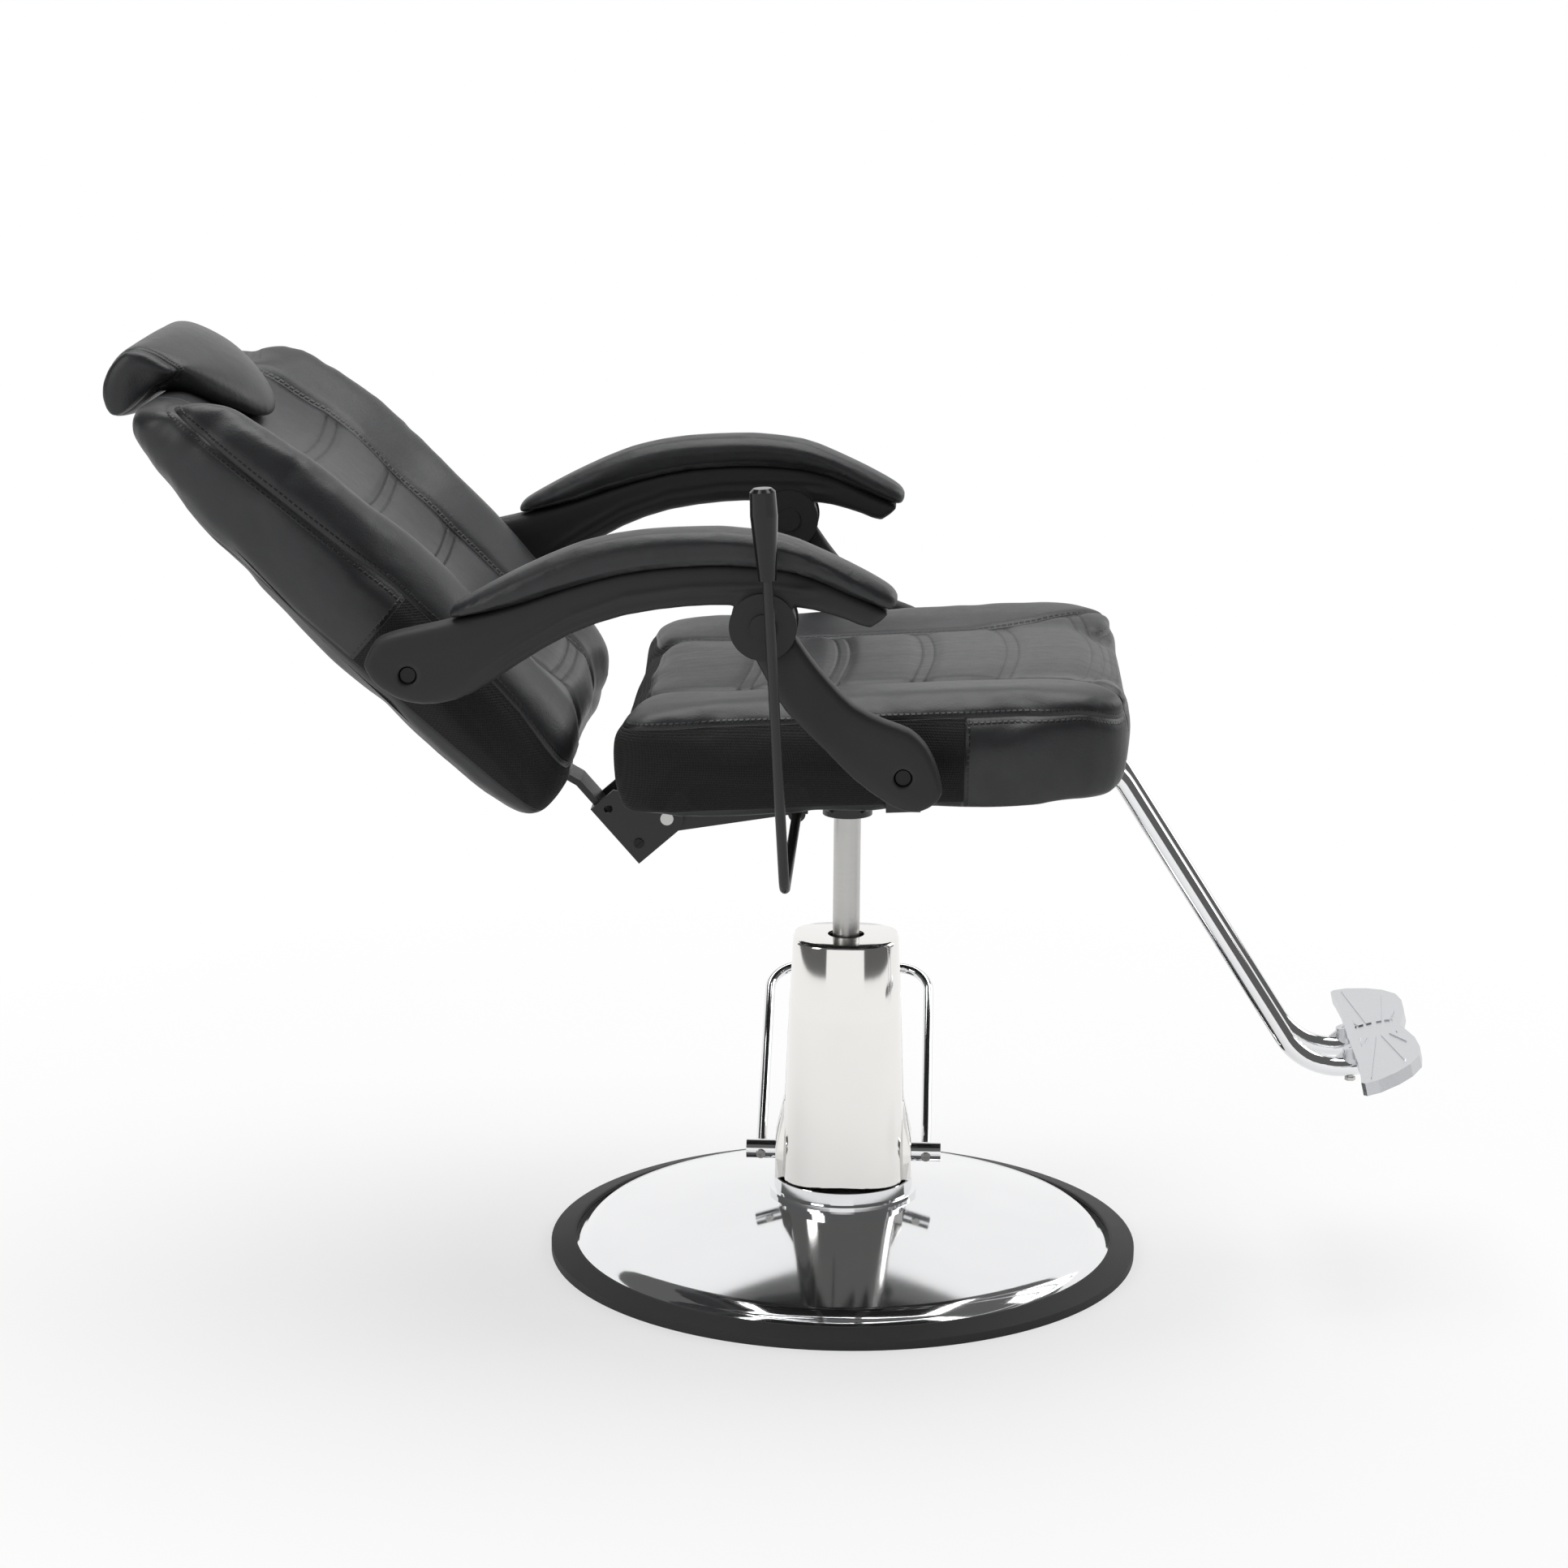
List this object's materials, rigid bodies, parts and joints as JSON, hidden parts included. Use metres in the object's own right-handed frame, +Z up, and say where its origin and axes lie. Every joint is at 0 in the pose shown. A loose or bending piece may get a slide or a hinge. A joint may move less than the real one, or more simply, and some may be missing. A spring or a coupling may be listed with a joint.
{
  "type": "barber chair",
  "caption": "Reclining barber chair with a padded seat, back and headrest, swinging armrests, a sprung footrest plate and a hydraulic pump column on a round base.",
  "frame": {"origin": "centre of the round base, on the floor under its ring", "axes": "+X to the chair's front, the way a sitter faces; +Y to the sitter's left; +Z up"},
  "size_m": [1.1961, 0.6486, 0.8621],
  "materials": {
    "rubber": "matte",
    "chrome": "polished",
    "black_paint": "satin",
    "zinc_steel": "satin",
    "plywood": "matte",
    "leather": "satin",
    "black_plastic": "matte"
  },
  "bodies": {
    "base": {"base_ring": "rubber", "base_disc": "chrome", "base_spider": "black_paint", "base_bolts": "zinc_steel", "pump_block": "black_paint", "pump_cylinder": "black_paint", "pump_gland": "zinc_steel", "pump_shroud": "chrome", "shroud_ring": "chrome"},
    "pedal": {"pedal_shaft": "zinc_steel", "pedal_collars": "chrome", "pedal_screws": "zinc_steel", "pedal_bar": "chrome"},
    "ram": {"piston_head": "zinc_steel", "piston_seals": "rubber", "piston_rod": "chrome"},
    "seat": {"seat_socket": "black_paint", "socket_bolts": "zinc_steel", "seat_frame": "black_paint", "seat_board": "plywood", "seat_cushion": "leather", "strut_crossbar": "black_paint", "hinge_bracket": "black_paint", "recline_pin": "zinc_steel", "lever_bracket": "black_paint", "footrest_clamp": "black_paint", "footrest_tubes": "chrome", "footplate": "chrome", "footplate_screws": "zinc_steel", "strut_bolts": "zinc_steel"},
    "lever": {"lever_rod": "black_paint", "lever_grip": "black_plastic"},
    "lock_barrel": {"lock_barrel": "black_paint"},
    "lock_rod": {"lock_rod": "zinc_steel"},
    "back": {"back_channel": "black_paint", "back_bar": "black_paint", "channel_screws": "zinc_steel", "back_board": "plywood", "back_crossbar": "black_paint", "back_cushion": "leather", "headrest_guide": "black_paint"},
    "headrest": {"headrest_bar": "black_paint", "headrest_cushion": "leather"},
    "right_strut": {"strut_right": "black_plastic"},
    "left_strut": {"strut_left": "black_plastic"},
    "right_arm": {"arm_frame_right": "black_plastic", "arm_pad_right": "leather", "hub_caps_right": "black_plastic", "hub_pin_right": "zinc_steel", "arm_bolt_right": "zinc_steel"},
    "left_arm": {"arm_frame_left": "black_plastic", "arm_pad_left": "leather", "hub_caps_left": "black_plastic", "hub_pin_left": "zinc_steel", "arm_bolt_left": "zinc_steel"}
  },
  "joints": [
    {"name": "lift", "type": "slide", "parent": "base", "child": "ram", "axis": [0, 0, 1], "range_m": [-0.09, 0.04]},
    {"name": "swivel", "type": "hinge", "parent": "ram", "child": "seat", "pos_m": [0, 0, 0.43], "axis": [0, 0, 1], "continuous": true},
    {"name": "recline", "type": "hinge", "parent": "seat", "child": "back", "pos_m": [-0.165, 0, 0.419], "axis": [0, 1, 0], "range_deg": [0, 35], "deforming": ["back_cushion"]},
    {"name": "headrest_slide", "type": "slide", "parent": "back", "child": "headrest", "axis": [-0.766, 0, 0.6428], "range_m": [0, 0.1]},
    {"name": "pedal_press", "type": "hinge", "parent": "base", "child": "pedal", "pos_m": [0, 0, 0.094], "axis": [-1, 0, 0], "range_deg": [0, 22], "stiffness_Nm_per_rad": 20, "springref_deg": -5.73},
    {"name": "lever_pull", "type": "hinge", "parent": "seat", "child": "lever", "pos_m": [-0.045, 0, 0.431], "axis": [0, 1, 0], "range_deg": [-18, 0], "stiffness_Nm_per_rad": 4, "springref_deg": 8.59},
    {"name": "lock_barrel_tilt", "type": "hinge", "parent": "seat", "child": "lock_barrel", "pos_m": [-0.062, 0, 0.436], "axis": [0, 1, 0], "range_deg": [0, 8]},
    {"name": "lock_rod_slide", "type": "slide", "parent": "lock_barrel", "child": "lock_rod", "axis": [0.9986, 0, -0.0525], "range_m": [0, 0.018]},
    {"name": "right_strut_tilt", "type": "hinge", "parent": "seat", "child": "right_strut", "pos_m": [0.053, -0.279, 0.521], "axis": [0, 1, 0], "range_deg": [0, 52]},
    {"name": "left_strut_tilt", "type": "hinge", "parent": "seat", "child": "left_strut", "pos_m": [0.053, 0.279, 0.521], "axis": [0, 1, 0], "range_deg": [0, 52]},
    {"name": "right_arm_tilt", "type": "hinge", "parent": "right_strut", "child": "right_arm", "pos_m": [-0.06611, -0.279, 0.65104], "axis": [0, 1, 0], "range_deg": [-46, 0]},
    {"name": "left_arm_tilt", "type": "hinge", "parent": "left_strut", "child": "left_arm", "pos_m": [-0.06611, 0.279, 0.65104], "axis": [0, 1, 0], "range_deg": [-46, 0]}
  ],
  "couplings": [
    {"joint": "right_strut_tilt", "follows": "recline", "ratio": 1.4491},
    {"joint": "left_strut_tilt", "follows": "recline", "ratio": 1.4491},
    {"joint": "right_arm_tilt", "follows": "recline", "ratio": -1.2642},
    {"joint": "left_arm_tilt", "follows": "recline", "ratio": -1.2642},
    {"joint": "lock_barrel_tilt", "follows": "recline", "ratio": 0.2044},
    {"joint": "lock_rod_slide", "follows": "recline", "m_per_rad": 0.027858}
  ]
}
